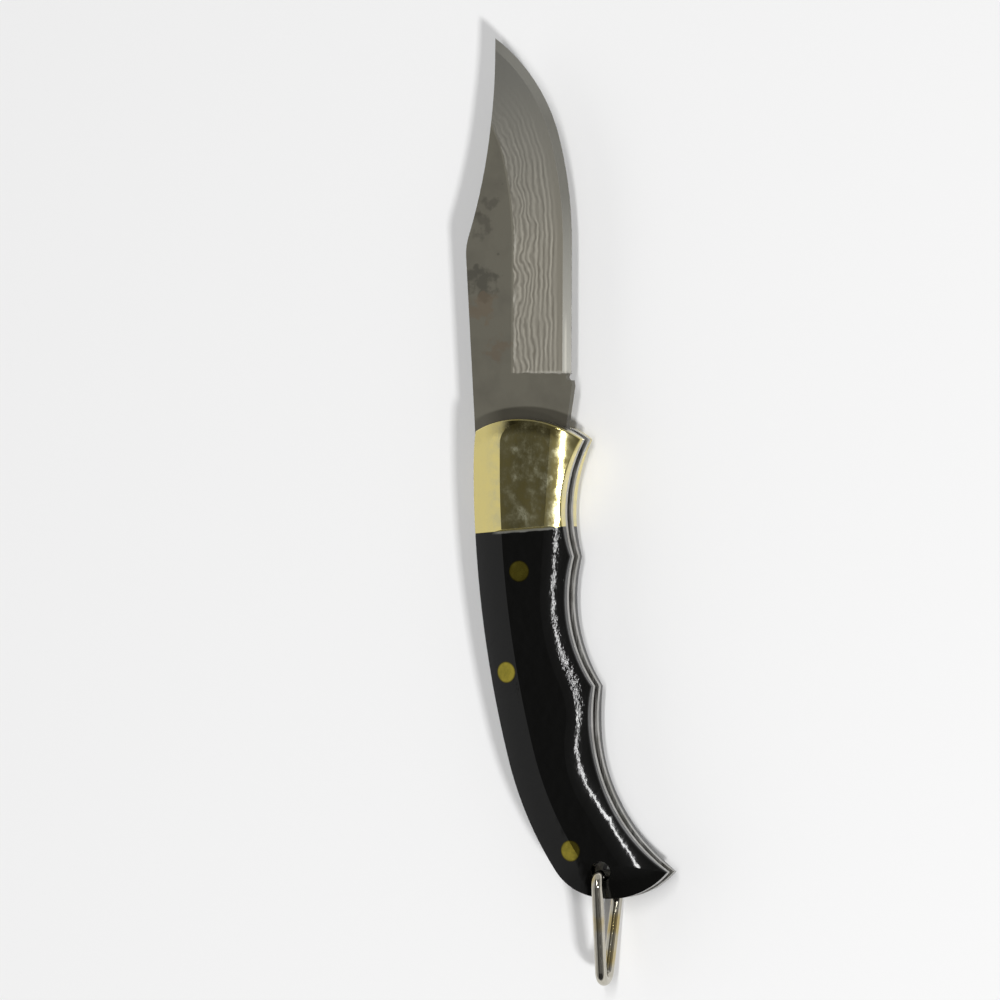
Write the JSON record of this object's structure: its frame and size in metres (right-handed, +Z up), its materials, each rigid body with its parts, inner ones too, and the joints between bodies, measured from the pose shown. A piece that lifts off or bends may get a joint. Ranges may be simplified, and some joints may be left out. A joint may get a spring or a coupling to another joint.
{
  "type": "folding pocket knife",
  "caption": "Folding pocket knife with a clip-point blade of layered steel, brass bolsters, glossy black scales with finger grooves and a wire bail at the butt.",
  "frame": {"origin": "under the middle of the open knife, at its lowest point as it lies on its lower side", "axes": "+X along the knife to the blade's tip, +Y to the spine, +Z up, across the knife's thickness"},
  "size_m": [0.18, 0.0413, 0.0154],
  "materials": {
    "blade_steel": "layered steel, forge-grey flats and ground bevels",
    "spring_steel": "satin",
    "liner_steel": "satin",
    "bolster_brass": "polished, lightly scratched",
    "pin_brass": "polished flush",
    "washer_brass": "plain",
    "scale_black": "polished",
    "bail_nickel": "nickel plated"
  },
  "bodies": {
    "handle": {"upper_liner": "liner_steel", "lower_liner": "liner_steel", "upper_bolster": "bolster_brass", "lower_bolster": "bolster_brass", "upper_scale": "scale_black", "lower_scale": "scale_black", "back_spring": "spring_steel", "pivot_pin": "bolster_brass", "spring_pin": "pin_brass", "end_pin": "pin_brass", "upper_scale_pin": "pin_brass", "lower_scale_pin": "pin_brass", "upper_spine_rivet": "bolster_brass", "lower_spine_rivet": "bolster_brass", "upper_belly_rivet": "bolster_brass", "lower_belly_rivet": "bolster_brass", "upper_washer": "washer_brass", "lower_washer": "washer_brass"},
    "blade": {"blade": "blade_steel"},
    "bail": {"bail": "bail_nickel"}
  },
  "joints": [
    {"name": "blade_fold", "type": "hinge", "parent": "handle", "child": "blade", "pos_m": [0.01077, 0.0078, 0.00768], "axis": [0, 0, -1], "range_deg": [0, 169], "deforming": ["back_spring"]},
    {"name": "bail_swing", "type": "hinge", "parent": "handle", "child": "bail", "pos_m": [-0.06808, -0.0081, 0.00768], "axis": [0, 0, 1], "range_deg": [-75, 65]}
  ]
}
